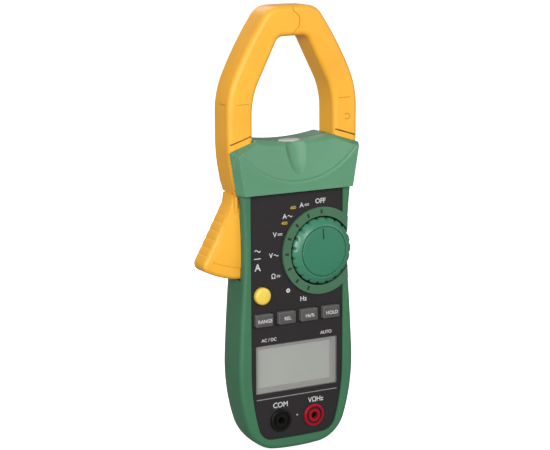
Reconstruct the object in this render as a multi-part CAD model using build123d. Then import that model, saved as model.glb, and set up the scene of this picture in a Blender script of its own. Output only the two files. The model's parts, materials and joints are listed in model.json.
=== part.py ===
from build123d import *
import os
from math import atan2, cos, degrees, hypot, radians, sin

# Hand-held clamp meter, in millimetres.
# X runs to the right seen from the front, Y runs from the front face into the meter, Z runs up to the jaws.
# The origin is on the front panel's face, on the centre line, at the middle of the hand grip.

# Depths, along Y
CASE_FRONT = -0.8            # front of the green border, proud of the panel
PANEL_BACK = 1.6             # the dark panel fills 0 to 1.6
WALL_FRONT = 1.7             # front wall that the panel lies on
WALL_BACK = 3.2
PARTING = 11.0               # joint between the front and rear cases
CASE_BACK = 34.0
WALL = 2.4
COVER_FRONT = -4.0           # head cover's front face
COVER_BACK = 1.6
JAW_FRONT = 2.0
JAW_BACK = 20.5
JAW_SPLIT = (JAW_FRONT + JAW_BACK) / 2
BEARER_FRONT = 20.9          # plate behind the jaws that holds the pivot pin
BEARER_BACK = 23.2
BOARD_FRONT = 8.0
BOARD_BACK = 9.6

# Case outline: half widths up the right side
CASE_TOP = 67.3
CASE_CORNERS = [(14.0, -75.9), (30.6, -62.5), (35.7, -25.0), (33.4, 14.0), (34.4, CASE_TOP)]
CASE_BOTTOM = -76.6
HEAD_REAR_CORNERS = [(33.8, 80.0), (18.0, 92.8)]
FRONT_EDGE_RADIUS = 2.6
ROUNDING_START = 6.0         # the sides curve in from here to the flat of the back
BACK_ROUNDING = 15.0         # how far the back's flat lies inside the outline

# Panel outline
PANEL_HALF_WIDTH = 28.86
PANEL_BOTTOM = -70.3
PANEL_TOP = 67.1
PANEL_CORNERS = [(16.0, -70.0), (24.2, -63.6), (PANEL_HALF_WIDTH, -28.0)]

# Head
COVER_BOTTOM = 67.6
BACK_TOP = [(40.2, 91.2), (24.2, 96.4), (0.0, 94.0)]     # top edge at the cover's back face
FRONT_TOP = [(37.2, 89.6), (23.2, 94.0), (0.0, 89.6)]    # and at its front face
BLOCK_HALF_WIDTH = 15.6      # centre block between the two jaw roots
BLOCK_SHOULDER_WIDTH = 24.4
BLOCK_SHOULDER = 88.2
NOTCH_BOTTOM = 76.3
NOTCH_RADIUS = 6.5
NOTCH_FRONT = -3.5           # depth where the notch starts
NOTCH_SLOPE = 0.45           # how fast the notch deepens going up
FACET_CENTRE = 118.6         # shallow cone that makes the arched facet
FACET_RADIUS = 45.4
FACET_SLOPE = 0.16
LAMP_DEPTH = 8.6
LAMP_HALF_WIDTH = 6.8
LAMP_HALF_DEPTH = 4.0

# Jaws: a ring 15 wide round a 50 wide window, split at the tip
JAW_TOP = 167.0
JAW_OUTER = [(9.0, 166.9), (17.5, 162.4), (35.5, 131.3), (39.9, 111.2)]
JAW_OUTER_STRAIGHT_END = 97.0
JAW_ROOT = (35.5, 68.3)
WINDOW_TOP = 150.8
JAW_INNER = [(6.0, 150.7), (10.5, 147.8), (20.4, 128.3), (25.0, 109.5)]
JAW_EDGE_RADIUS = 3.0
SEAM = [(-0.5, 180.0), (-0.5, 164.2), (3.0, 161.4), (3.4, 158.8), (3.0, 156.2), (-0.5, 152.5), (-0.5, 140.0)]
SEAM_GAP = 0.18              # each side of the seam line
CORE_INSET = 3.5
CORE_BOTTOM = 86.0

# Lever: the left jaw and the trigger turn together about this pin
PIVOT = (-27.2, 76.0)
HUB_RADIUS = 9.2
ROOT_SWING = 12.0            # the corner of the jaw root passes inside this
PIN_RADIUS = 2.5
RUNNING_GAP = 0.06
SPRING_POCKET_RADIUS = 6.8
TRIGGER_FRONT = 4.0
TRIGGER_BACK = 18.0
TRIGGER_TOP = 68.0
TRIGGER_RADIUS = 55.3        # lower edge, an arc about the pivot
TRIGGER_SLOPE = [(-36.3, TRIGGER_TOP), (-37.2, 62.5), (-58.2, 24.4)]
TRIGGER_INNER = [(-31.0, 15.0), (-29.6, TRIGGER_TOP)]
TRIGGER_TIP_RADIUS = 4.0
TRIGGER_WALL = 2.4

# Dial and knob
DIAL = (14.9, 33.2)
RING_RADIUS = 24.2
RING_HOLE = 19.3
RING_FRONT = -1.3
KNOB_RADIUS = 18.4
KNOB_FRONT = -4.3
KNOB_BACK = 1.2
SCALLOPS = 20
CAP_RADIUS = 13.8
SHAFT_RADIUS = 5.0
ROTOR_RADIUS = 14.5
CUP_FLOOR = 5.2

# Buttons and keys
BUTTON = (-21.7, 11.7)
BUTTON_RADIUS = 4.8
KEY_FRONT = -2.5
KEY_WIDTH = 10.6
KEY_HEIGHT = 7.0
KEY_ROW = -1.8
KEY_PITCH = 14.0
KEY_FIRST = -21.08
KEY_NAMES = ["range_key", "relative_key", "frequency_key", "hold_key"]
FLANGE_FRONT = 3.5
FLANGE_BACK = 4.1

# Display
WINDOW_WIDTH = 49.0
WINDOW_HEIGHT = 24.9
WINDOW_CENTRE = (0.0, -29.9)
LENS_MARGIN = 1.0

# Input jacks
JACK_SPACING = 21.0
JACK_ROW = -59.8
JACK_FLANGE = 6.3
JACK_BODY = 5.2
SOCKET_RADIUS = 2.0
SOCKET_WALL = 0.6
SOCKET_FRONT = 0.4
SOCKET_BACK = 16.4

# Battery and its cover
BATTERY = (26.5, 17.5, 48.5)
BATTERY_FRONT = 12.0
BATTERY_TOP = 4.5
COVER_PLATE = (35.0, 62.0)
COVER_PLATE_CENTRE = (0.0, -25.0)
BAY = (30.0, 53.0)
BAY_CENTRE = (0.0, -22.5)
LEDGE = 32.5

# Screws
HEAD_SCREWS = [(-12.0, 81.0), (12.0, 81.0)]
FOOT_SCREWS = [(-20.6, -57.6), (20.6, -57.6)]
BOARD_SCREWS = [(-27.5, -48.6), (27.5, -48.6), (-28.4, 5.6), (27.5, 9.8)]
COVER_SCREW = (0.0, -52.8)
SCREW_SEAT = 28.4            # floor of the recess round each case screw
JAW_SCREWS = [(23.2, 74.0), (23.2, 81.4)]
JAW_FOOT = (19.8, 26.0, 68.9, 86.4)   # flange of the fixed jaw that the screws hold

# Plane facing the front, with its own x along X and its own y along Z
FRONT_PLANE = Plane(origin=(0, 0, 0), x_dir=(1, 0, 0), z_dir=(0, -1, 0))


def slab(outline, near, far):
    """Solid of an outline drawn in X and Z, from depth near to depth far."""
    return extrude(FRONT_PLANE.offset(-near) * outline, amount=near - far)


def disc(centre, radius):
    return Pos(*centre) * Circle(radius)


def rectangle(x_low, x_high, z_low, z_high):
    middle = Pos((x_low + x_high) / 2, (z_low + z_high) / 2)
    return middle * Rectangle(x_high - x_low, z_high - z_low)


def arc_chain(start, direction, points):
    """Tangent arcs through the points, and the direction at the end."""
    arcs = []
    for point in points:
        arc = TangentArc(start, point, tangent=direction)
        arcs.append(arc)
        start = point
        direction = arc % 1
    return arcs, direction


def symmetric_face(edges):
    half = Curve() + edges
    return make_face(half + mirror(half, about=Plane.YZ))


def case_outline(top_corners=()):
    """Case seen from the front; the rear half carries on up behind the jaws."""
    points = CASE_CORNERS + list(top_corners)
    arcs, _ = arc_chain((0, CASE_BOTTOM), (1, 0), points)
    top = Line(points[-1], (0, points[-1][1]))
    return symmetric_face(arcs + [top])


def rounded_back(outline, rounding, near, far):
    """Slab of an outline whose sides curve in elliptically to a flat back."""
    rim = 0.5
    stretch = (far - near) / (rounding + rim)
    blank = slab(outline, 0, rounding + rim)
    blank = fillet(blank.edges().group_by(Axis.Y)[-1], rounding)
    return Pos(0, near, 0) * scale(blank, by=(1, stretch, 1))


def case_blank(outline, inset, front, back):
    """Whole case, front and rear together, its wall thickness held back by the inset."""
    outline = offset(outline, amount=-inset) if inset else outline
    straight = slab(outline, front, ROUNDING_START)
    return straight + rounded_back(outline, BACK_ROUNDING - inset, ROUNDING_START, back)


def panel_outline():
    arcs, _ = arc_chain((0, PANEL_BOTTOM), (1, 0), PANEL_CORNERS)
    side = Line(PANEL_CORNERS[-1], (PANEL_HALF_WIDTH, PANEL_TOP))
    top = Line((PANEL_HALF_WIDTH, PANEL_TOP), (0, PANEL_TOP))
    return symmetric_face(arcs + [side, top])


def key_centres():
    return [(KEY_FIRST + KEY_PITCH * index, KEY_ROW) for index in range(len(KEY_NAMES))]


def jack_centres():
    return [(-JACK_SPACING / 2, JACK_ROW), (JACK_SPACING / 2, JACK_ROW)]


def window(margin=0.0):
    return Pos(*WINDOW_CENTRE) * Rectangle(WINDOW_WIDTH + 2 * margin, WINDOW_HEIGHT + 2 * margin)


# ---------------------------------------------------------------- lever swing

def swing_space():
    """Space the lever sweeps inside the case."""
    root = slab(disc(PIVOT, ROOT_SWING), COVER_BACK, BEARER_FRONT)
    tail = slab(disc(PIVOT, 20.0) & rectangle(-50, -20, 50, 76), 2.3, TRIGGER_FRONT)
    trigger = slab(disc(PIVOT, TRIGGER_RADIUS + 0.6) & rectangle(-60, -5.5, 10, 76),
                   TRIGGER_FRONT - 0.5, TRIGGER_BACK + 0.5)
    return root + tail + trigger


# ---------------------------------------------------------------- front

def front_case():
    outline = case_outline()
    blank = slab(outline, CASE_FRONT, PARTING)
    edge = [e for e in blank.edges().group_by(Axis.Y)[0] if e.center().Z < CASE_TOP - 0.1]
    blank = fillet(edge, FRONT_EDGE_RADIUS)
    blank &= case_blank(outline, 0, CASE_FRONT, CASE_BACK)
    shell = blank - case_blank(outline, WALL, WALL_BACK, CASE_BACK - WALL)
    for centre in FOOT_SCREWS:
        shell += slab(disc(centre, 3.4), WALL_BACK, PARTING)
    for centre in BOARD_SCREWS:
        shell += slab(disc(centre, 2.6), WALL_BACK, BOARD_FRONT)
    cup = slab((disc(DIAL, RING_HOLE + 1.7) - disc(DIAL, 15.2)) & rectangle(27, 60, 0, 60), WALL_BACK, 7.0)
    shell += cup & blank
    shell -= slab(panel_outline(), CASE_FRONT, WALL_FRONT)
    shell -= slab(disc(DIAL, RING_RADIUS + 0.1), CASE_FRONT - 1, 0)
    shell -= slab(disc(DIAL, RING_HOLE + 0.1) & rectangle(20, 60, 0, 60), CASE_FRONT - 1, WALL_FRONT)
    knob_notch = (disc(DIAL, RING_HOLE + 0.1) - disc(DIAL, 16.4)) & rectangle(28, 60, 0, 60)
    shell -= slab(knob_notch, CASE_FRONT - 1, CUP_FLOOR)
    shell -= slab(disc(DIAL, SHAFT_RADIUS + RUNNING_GAP), WALL_FRONT, WALL_BACK)
    shell -= slab(window(-0.3), WALL_FRONT, WALL_BACK)
    shell -= slab(disc(BUTTON, BUTTON_RADIUS + 0.35), WALL_FRONT, WALL_BACK)
    for centre in key_centres():
        shell -= slab(Pos(*centre) * Rectangle(KEY_WIDTH + 0.7, KEY_HEIGHT + 0.7), WALL_FRONT, WALL_BACK)
    for centre in jack_centres():
        shell -= slab(disc(centre, JACK_BODY + 0.1), WALL_FRONT, WALL_BACK)
    for centre in BOARD_SCREWS:
        shell -= slab(disc(centre, 1.0), 4.2, BOARD_FRONT)
    for centre in FOOT_SCREWS:
        shell -= slab(disc(centre, 1.3), 4.4, PARTING)
    return shell - swing_space()


def face_panel():
    panel = slab(offset(panel_outline(), amount=-0.15), 0, PANEL_BACK)
    panel -= slab(disc(DIAL, RING_HOLE), 0, PANEL_BACK)
    panel -= slab(window(LENS_MARGIN + 0.1), 0, PANEL_BACK)
    panel -= slab(disc(BUTTON, BUTTON_RADIUS + 0.35), 0, PANEL_BACK)
    for centre in key_centres():
        panel -= slab(Pos(*centre) * Rectangle(KEY_WIDTH + 0.9, KEY_HEIGHT + 0.9), 0, PANEL_BACK)
    for centre in jack_centres():
        panel -= slab(disc(centre, JACK_FLANGE + 0.05), 0, PANEL_BACK)
    return panel


def dial_ring():
    inside_case = offset(case_outline(), amount=-1.2)
    ring = (disc(DIAL, RING_RADIUS) - disc(DIAL, RING_HOLE)) & inside_case
    body = slab(ring, RING_FRONT, 0)
    for step in range(8):
        angle = radians(90 + 22.5 * step)
        centre = (DIAL[0] + 21.7 * cos(angle), DIAL[1] + 21.7 * sin(angle))
        tick = Pos(*centre) * Rot(0, 0, degrees(angle)) * Rectangle(2.4, 0.8)
        body -= slab(tick, RING_FRONT, RING_FRONT + 0.3)
    return body


def lcd_lens():
    return slab(window(LENS_MARGIN), 0.2, PANEL_BACK)


def lcd_glass():
    return slab(window(2.2), WALL_BACK + 0.2, 6.2)


def contact_strips():
    strips = []
    for z in (WINDOW_CENTRE[1] - 13.6, WINDOW_CENTRE[1] + 13.6):
        strips.append(slab(rectangle(-24, 24, z - 0.8, z + 0.8), 6.2, BOARD_FRONT))
    return Compound(strips)


def main_board():
    outline = offset(case_outline(), amount=-WALL - 1.0) - rectangle(-50, -4.8, 18.6, 80)
    board = slab(outline, BOARD_FRONT, BOARD_BACK)
    board -= slab(rectangle(-50, 50, 63, 80), BOARD_FRONT, BOARD_BACK)
    for centre in FOOT_SCREWS:
        board -= slab(disc(centre, 3.8), BOARD_FRONT, BOARD_BACK)
    for centre in BOARD_SCREWS:
        board -= slab(disc(centre, 1.4), BOARD_FRONT, BOARD_BACK)
    for centre in jack_centres():
        board -= slab(disc(centre, SOCKET_RADIUS + SOCKET_WALL + 0.1), BOARD_FRONT, BOARD_BACK)
    return board


def key_mat():
    mat = slab(rectangle(-27, 27, -6.4, 2.6), 6.8, BOARD_FRONT)
    mat += slab(disc(BUTTON, 4.6) + rectangle(-24, -19, 2, 12), 6.8, BOARD_FRONT)
    for centre in key_centres() + [BUTTON]:
        mat += slab(disc(centre, 2.6), 5.4, 6.8)
    return mat


def key(centre):
    cap = slab(Pos(*centre) * RectangleRounded(KEY_WIDTH, KEY_HEIGHT, 0.8), KEY_FRONT, FLANGE_FRONT)
    cap = fillet(cap.edges().group_by(Axis.Y)[0], 0.6)
    flange = slab(Pos(*centre) * Rectangle(KEY_WIDTH + 1.6, KEY_HEIGHT + 1.4), FLANGE_FRONT, FLANGE_BACK)
    return cap + flange


def select_button():
    cap = slab(disc(BUTTON, BUTTON_RADIUS), -2.6, FLANGE_FRONT)
    cap = fillet(cap.edges().group_by(Axis.Y)[0], 1.4)
    return cap + slab(disc(BUTTON, BUTTON_RADIUS + 0.7), FLANGE_FRONT, FLANGE_BACK)


def input_jack(centre):
    body = slab(disc(centre, JACK_FLANGE), -1.2, WALL_FRONT)
    body = fillet(body.edges().group_by(Axis.Y)[0], 0.5)
    body += slab(disc(centre, JACK_BODY), WALL_FRONT, BOARD_FRONT - 0.3)
    body -= slab(disc(centre, SOCKET_RADIUS + SOCKET_WALL), SOCKET_FRONT, BOARD_FRONT)
    body -= slab(disc(centre, SOCKET_RADIUS + 0.02), -1.2, SOCKET_FRONT)
    return body - slab(disc(centre, 4.9) - disc(centre, 3.6), -1.2, -0.4)


def jack_contacts():
    tubes = []
    for centre in jack_centres():
        ring = disc(centre, SOCKET_RADIUS + SOCKET_WALL) - disc(centre, SOCKET_RADIUS)
        tubes.append(slab(ring, SOCKET_FRONT, SOCKET_BACK))
    return Compound(tubes)


# ---------------------------------------------------------------- selector

def selector_knob():
    outline = disc(DIAL, KNOB_RADIUS)
    for step in range(SCALLOPS):
        angle = radians(360 * step / SCALLOPS + 9)
        centre = (DIAL[0] + 19.6 * cos(angle), DIAL[1] + 19.6 * sin(angle))
        outline -= disc(centre, 1.9)
    knob = slab(outline, KNOB_FRONT, KNOB_BACK)
    bevel = Cone(bottom_radius=KNOB_RADIUS + 1, top_radius=14.6, height=4.8)
    bevel = Pos(DIAL[0], KNOB_FRONT + 4.8, DIAL[1]) * Rot(90, 0, 0) * Pos(0, 0, 2.4) * bevel
    knob &= bevel + slab(disc(DIAL, KNOB_RADIUS), -1.6, KNOB_BACK)
    knob -= slab(disc(DIAL, CAP_RADIUS), KNOB_FRONT, KNOB_FRONT + 1.0)
    return knob + slab(disc(DIAL, SHAFT_RADIUS), KNOB_BACK, 6.4)


def knob_cap():
    cap = slab(disc(DIAL, CAP_RADIUS - 0.25), KNOB_FRONT - 0.3, KNOB_FRONT + 1.0)
    index = Pos(DIAL[0], DIAL[1] + 10.2) * Rectangle(0.8, 5.6)
    return cap - slab(index, KNOB_FRONT - 0.3, KNOB_FRONT + 0.1)


def ball_centres():
    return [(DIAL[0], DIAL[1] + side * 11.0) for side in (-1, 1)]


def selector_rotor():
    rotor = slab(disc(DIAL, ROTOR_RADIUS) - disc(DIAL, SHAFT_RADIUS), 4.0, 5.6)
    for centre in ball_centres():
        rotor -= slab(disc(centre, 1.25), 4.0, 5.6)
    return rotor


def rotor_wipers():
    wipers = []
    for radius in (7.0, 9.0, 12.6):
        wiper = Pos(DIAL[0] - radius, DIAL[1]) * Rectangle(1.4, 8.0)
        wipers.append(slab(wiper, 5.6, 6.2))
    return Compound(wipers)


def detent_balls():
    return Compound([Pos(x, 4.75, z) * Sphere(1.2) for x, z in ball_centres()])


# ---------------------------------------------------------------- rear

def rear_case():
    outline = case_outline(HEAD_REAR_CORNERS)
    behind = slab(rectangle(-60, 60, -100, 120), PARTING, CASE_BACK)
    blank = case_blank(outline, 0, CASE_FRONT, CASE_BACK) & behind
    cavity = case_blank(outline, WALL, WALL_BACK, CASE_BACK - WALL) & behind
    cavity -= slab(rectangle(-50, 50, 66, 110), PARTING, BEARER_BACK)
    shell = blank - cavity
    shell -= slab(rectangle(-60, 60, CASE_TOP, 110), PARTING, BEARER_FRONT)
    shell += centre_block(PARTING, BEARER_BACK)
    for centre in FOOT_SCREWS:
        shell += slab(disc(centre, 3.4), PARTING, CASE_BACK) & blank
    for centre in HEAD_SCREWS:
        shell += slab(disc(centre, 3.6), BEARER_BACK, CASE_BACK) & blank
    shell += slab(disc(COVER_SCREW, 3.2), 26, LEDGE)
    plate = Pos(*COVER_PLATE_CENTRE) * RectangleRounded(COVER_PLATE[0], COVER_PLATE[1], 3.0)
    shell -= slab(plate, LEDGE, CASE_BACK)
    shell -= slab(Pos(*BAY_CENTRE) * Rectangle(*BAY), LEDGE - 3, CASE_BACK)
    shell -= slab(disc(COVER_SCREW, 1.2), 26, CASE_BACK)
    for centre in FOOT_SCREWS + HEAD_SCREWS:
        shell -= slab(disc(centre, 1.6), PARTING, CASE_BACK)
        shell -= slab(disc(centre, 3.0), SCREW_SEAT, CASE_BACK)
    for centre in JAW_SCREWS:
        shell -= slab(disc(centre, 1.3), BEARER_FRONT, BEARER_BACK)
    shell -= slab(disc(PIVOT, PIN_RADIUS), BEARER_FRONT, BEARER_BACK)
    shell -= lamp_seat()
    return shell - swing_space()


def battery():
    block = rectangle(-BATTERY[0] / 2, BATTERY[0] / 2, BATTERY_TOP - BATTERY[2], BATTERY_TOP)
    body = slab(block, BATTERY_FRONT, BATTERY_FRONT + BATTERY[1])
    return fillet(body.edges().filter_by(Axis.Z), 2.0)


def battery_snap():
    middle = BATTERY_FRONT + BATTERY[1] / 2
    plate = Pos(0, middle, BATTERY_TOP + 1.6 + 1.5) * Box(24, 13, 3.0)
    for side in (-1, 1):
        plate += Pos(side * 6.35, middle, BATTERY_TOP + 0.8) * Cylinder(3.4, 1.6)
    return plate


def battery_cover():
    plate = Pos(*COVER_PLATE_CENTRE) * RectangleRounded(COVER_PLATE[0] - 0.5, COVER_PLATE[1] - 0.5, 2.8)
    cover = slab(plate, LEDGE, CASE_BACK)
    cover += slab(Pos(*BAY_CENTRE) * Rectangle(BAY[0] - 0.6, BAY[1] - 0.6), LEDGE - 1.0, LEDGE)
    cover -= slab(disc(COVER_SCREW, 2.6), CASE_BACK - 0.9, CASE_BACK)
    cover -= slab(disc(COVER_SCREW, 1.4), LEDGE, CASE_BACK)
    for step in range(5):
        z = -2.0 - 2.2 * step
        cover -= slab(rectangle(-8, 8, z - 0.5, z + 0.5), CASE_BACK - 0.5, CASE_BACK)
    return cover


def screw(centre, head_back, tip, shank=1.2, head=2.4, head_height=1.6):
    """Cross-head screw driven in from the back."""
    body = slab(disc(centre, head), head_back - head_height, head_back)
    body += slab(disc(centre, shank), tip, head_back - head_height)
    slot = rectangle(centre[0] - head * 0.6, centre[0] + head * 0.6, centre[1] - 0.3, centre[1] + 0.3)
    cross = rectangle(centre[0] - 0.3, centre[0] + 0.3, centre[1] - head * 0.6, centre[1] + head * 0.6)
    return body - slab(slot + cross, head_back - head_height * 0.5, head_back)


def case_screws():
    top = SCREW_SEAT + 1.6
    upper = [screw(centre, top, 3.5, shank=1.25, head=2.7) for centre in HEAD_SCREWS]
    lower = [screw(centre, top, 4.6, shank=1.25, head=2.7) for centre in FOOT_SCREWS]
    return Compound(upper + lower)


def board_screws():
    return Compound([screw(centre, BOARD_BACK + 1.2, 4.4, 0.95, 2.0, 1.2) for centre in BOARD_SCREWS])


def battery_cover_screw():
    return screw(COVER_SCREW, CASE_BACK - 0.1, 27, 1.15, 2.3, 0.8)


def buzzer():
    return slab(disc((23.0, -12.0), 6.0), BOARD_BACK, 13.2) - slab(disc((23.0, -12.0), 1.2), 12.4, 13.2)


# ---------------------------------------------------------------- head

def cover_face(bottom_half, top_edge):
    """Head cover seen from the front, with its dipped top edge."""
    corner, shoulder, dip = top_edge
    edges = [
        Line((0, COVER_BOTTOM), (bottom_half, COVER_BOTTOM)),
        Line((bottom_half, COVER_BOTTOM), corner),
        Line(corner, shoulder),
        TangentArc(dip, shoulder, tangent=(1, 0)),
    ]
    return symmetric_face(edges)


def centre_block(near, far):
    shape = rectangle(-BLOCK_HALF_WIDTH, BLOCK_HALF_WIDTH, CASE_TOP + 0.4, BLOCK_SHOULDER + 2)
    shape += rectangle(-BLOCK_SHOULDER_WIDTH, BLOCK_SHOULDER_WIDTH, BLOCK_SHOULDER, 110)
    return slab(shape & cover_face(36.4, BACK_TOP), near, far)


def lamp_plug(gap, height):
    """Oval plug standing on the lamp seat's floor."""
    outline = Pos(0, LAMP_DEPTH) * Ellipse(LAMP_HALF_WIDTH - gap, LAMP_HALF_DEPTH - gap)
    return extrude(Plane.XY.offset(88.0 + gap) * outline, amount=height)


def lamp_seat():
    return lamp_plug(0.0, 10.0) + Pos(0, LAMP_DEPTH, 84.0) * Cylinder(3.2, 9.0)


def lamp_lens():
    plug = lamp_plug(0.1, 6.6)
    return chamfer(plug.edges().group_by(Axis.Z)[-1], 0.8)


def lamp_led():
    return Pos(0, LAMP_DEPTH, 83.3) * Cylinder(2.5, 7.0) + Pos(0, LAMP_DEPTH, 80.4) * Cylinder(3.0, 1.2)


def head_cover():
    back = FRONT_PLANE.offset(-COVER_BACK) * cover_face(36.4, BACK_TOP)
    front = FRONT_PLANE.offset(-COVER_FRONT) * cover_face(33.4, FRONT_TOP)
    cover = loft([front.face(), back.face()], ruled=True)
    cover += centre_block(COVER_BACK, PARTING)
    reach = FACET_RADIUS + 5
    facet = Cone(bottom_radius=reach, top_radius=0, height=reach * FACET_SLOPE)
    facet = Rot(-90, 0, 0) * Pos(0, 0, reach * FACET_SLOPE / 2) * facet
    cover -= Pos(0, COVER_FRONT - 5 * FACET_SLOPE, FACET_CENTRE) * facet
    tilt = Rot(-degrees(atan2(NOTCH_SLOPE, 1)), 0, 0)
    groove = tilt * Pos(0, -NOTCH_RADIUS, 0) * Cylinder(NOTCH_RADIUS, 60)
    cover -= Pos(0, NOTCH_FRONT, NOTCH_BOTTOM) * groove
    cover -= slab(disc(PIVOT, PIN_RADIUS), -1.4, COVER_BACK)
    for centre in HEAD_SCREWS:
        cover -= slab(disc(centre, 1.3), 3.2, PARTING)
    cover -= lamp_seat()
    return cover


# ---------------------------------------------------------------- jaws

def jaw_ring_outlines():
    outer, _ = arc_chain((0, JAW_TOP), (1, 0), JAW_OUTER)
    straight_end = (JAW_OUTER[-1][0], JAW_OUTER_STRAIGHT_END)
    outer.append(Line(JAW_OUTER[-1], straight_end))
    outer.append(TangentArc(straight_end, JAW_ROOT, tangent=(0, -1)))
    outer.append(Line(JAW_ROOT, (0, JAW_ROOT[1])))
    inner, _ = arc_chain((0, WINDOW_TOP), (1, 0), JAW_INNER)
    inner.append(Line(JAW_INNER[-1], (JAW_INNER[-1][0], JAW_ROOT[1])))
    inner.append(Line((JAW_INNER[-1][0], JAW_ROOT[1]), (0, JAW_ROOT[1])))
    return symmetric_face(outer), symmetric_face(inner)


def seam_side(side, gap):
    """Everything left (-1) or right (1) of the seam line, held back by the gap."""
    shifted = [(x + side * gap, z) for x, z in SEAM]
    corners = [(shifted[-1][0], 60.0), (side * 80.0, 60.0), (side * 80.0, 180.0)]
    return make_face(Polyline(*(shifted + corners), close=True))


def jaw_blank(side):
    outer, inner = jaw_ring_outlines()
    ring = slab(outer - inner, JAW_FRONT, JAW_BACK)
    faces = ring.edges().group_by(Axis.Y)
    edges = [e for e in faces[0] + faces[-1] if e.center().Z > JAW_ROOT[1] + 0.1]
    ring = fillet(edges, JAW_EDGE_RADIUS)
    blank = ring & slab(seam_side(side, SEAM_GAP), JAW_FRONT, JAW_BACK)
    angle = degrees(atan2(-5.0, 15.8)) * side
    groove = Pos(side * 32.4, 96.9) * Rot(0, 0, angle) * Rectangle(15.4, 0.8)
    return blank - slab(groove, JAW_FRONT, JAW_FRONT + 0.9)


def core_space(side, inset, seam_gap, bottom):
    outer, inner = jaw_ring_outlines()
    inside = offset(outer, amount=-inset) - offset(inner, amount=inset)
    inside &= seam_side(side, seam_gap)
    return inside & rectangle(-60, 60, bottom, 200)


def trigger_outline(inset=0.0):
    points = TRIGGER_SLOPE + [(-58.2, 10.0)] + TRIGGER_INNER
    shape = make_face(Polyline(*points, close=True)) & disc(PIVOT, TRIGGER_RADIUS)
    tip = shape.vertices().sort_by(Axis.X)[0]
    shape = fillet(tip, TRIGGER_TIP_RADIUS)
    if inset:
        shape = offset(shape, amount=-inset)
    return shape


def lever_tongue(margin):
    """Arm of the jaw shells that fills the trigger."""
    arm = trigger_outline(TRIGGER_WALL + 0.4 - margin) & rectangle(-60, -20, 10, 62)
    neck = rectangle(-35.4 - margin, -31.0 + margin, 56, 69)
    return arm + neck


def moving_jaw():
    jaw = jaw_blank(-1)
    jaw += slab(disc(PIVOT, HUB_RADIUS), JAW_FRONT, JAW_BACK)
    jaw += slab(lever_tongue(0), 7.0, 15.4)
    jaw += slab(rectangle(-36.6, -34.9, 58.5, 70), 2.6, 3.6)
    jaw -= slab(core_space(-1, CORE_INSET - 0.3, 0.9, CORE_BOTTOM - 0.3), 5.0, 17.5)
    jaw -= slab(disc(PIVOT, SPRING_POCKET_RADIUS), 6.0, 17.0)
    return jaw - slab(disc(PIVOT, PIN_RADIUS + RUNNING_GAP), JAW_FRONT, JAW_BACK)


def fixed_jaw():
    jaw = jaw_blank(1)
    jaw += slab(rectangle(*JAW_FOOT), JAW_FRONT, JAW_BACK)
    jaw -= slab(core_space(1, CORE_INSET - 0.3, 0.9, CORE_BOTTOM - 0.3), 5.0, 17.5)
    for centre in JAW_SCREWS:
        jaw -= slab(disc(centre, 1.2), 8.0, JAW_BACK)
    return jaw


def front_half(body):
    return body & slab(rectangle(-100, 100, 0, 200), -10, JAW_SPLIT)


def rear_half(body):
    return body & slab(rectangle(-100, 100, 0, 200), JAW_SPLIT, 40)


def jaw_core(side):
    core = slab(core_space(side, CORE_INSET, 1.2, CORE_BOTTOM), 5.3, 17.2)
    if side > 0:
        core -= slab(rectangle(20, 45, 92.0, 94.6), 5.0, 18.0)
    return core


def hall_sensor():
    return slab(rectangle(28.8, 36.2, 92.1, 94.5), 7.0, 15.5)


def jaw_screws():
    return Compound([screw(centre, BEARER_BACK + 1.4, 8.6, 1.15, 2.2, 1.4) for centre in JAW_SCREWS])


def jaw_pivot_pin():
    return slab(disc(PIVOT, PIN_RADIUS), -1.3, BEARER_BACK)


def jaw_spring():
    wire, radius, pitch, turns = 0.7, 5.4, 1.65, 5.5
    path = Helix(pitch=pitch, height=pitch * turns, radius=radius)
    start = Plane(origin=path @ 0, z_dir=path % 0)
    coil = sweep(start * Circle(wire), path=path)
    return Pos(PIVOT[0], 6.9, PIVOT[1]) * Rot(-90, 0, 0) * coil


def trigger():
    shape = trigger_outline() - disc(PIVOT, HUB_RADIUS + 0.05)
    body = slab(shape, TRIGGER_FRONT, TRIGGER_BACK)
    body -= slab(lever_tongue(0.3), 6.7, 15.7)
    top, tip = TRIGGER_SLOPE[1], TRIGGER_SLOPE[2]
    length = hypot(tip[0] - top[0], tip[1] - top[1])
    for step in range(6):
        along = (6.0 + 3.8 * step) / length
        x = top[0] + (tip[0] - top[0]) * along
        z = top[1] + (tip[1] - top[1]) * along
        body -= slab(disc((x - 0.45, z + 0.25), 0.85), TRIGGER_FRONT, TRIGGER_BACK)
    return body


# ---------------------------------------------------------------- all nodes

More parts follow.
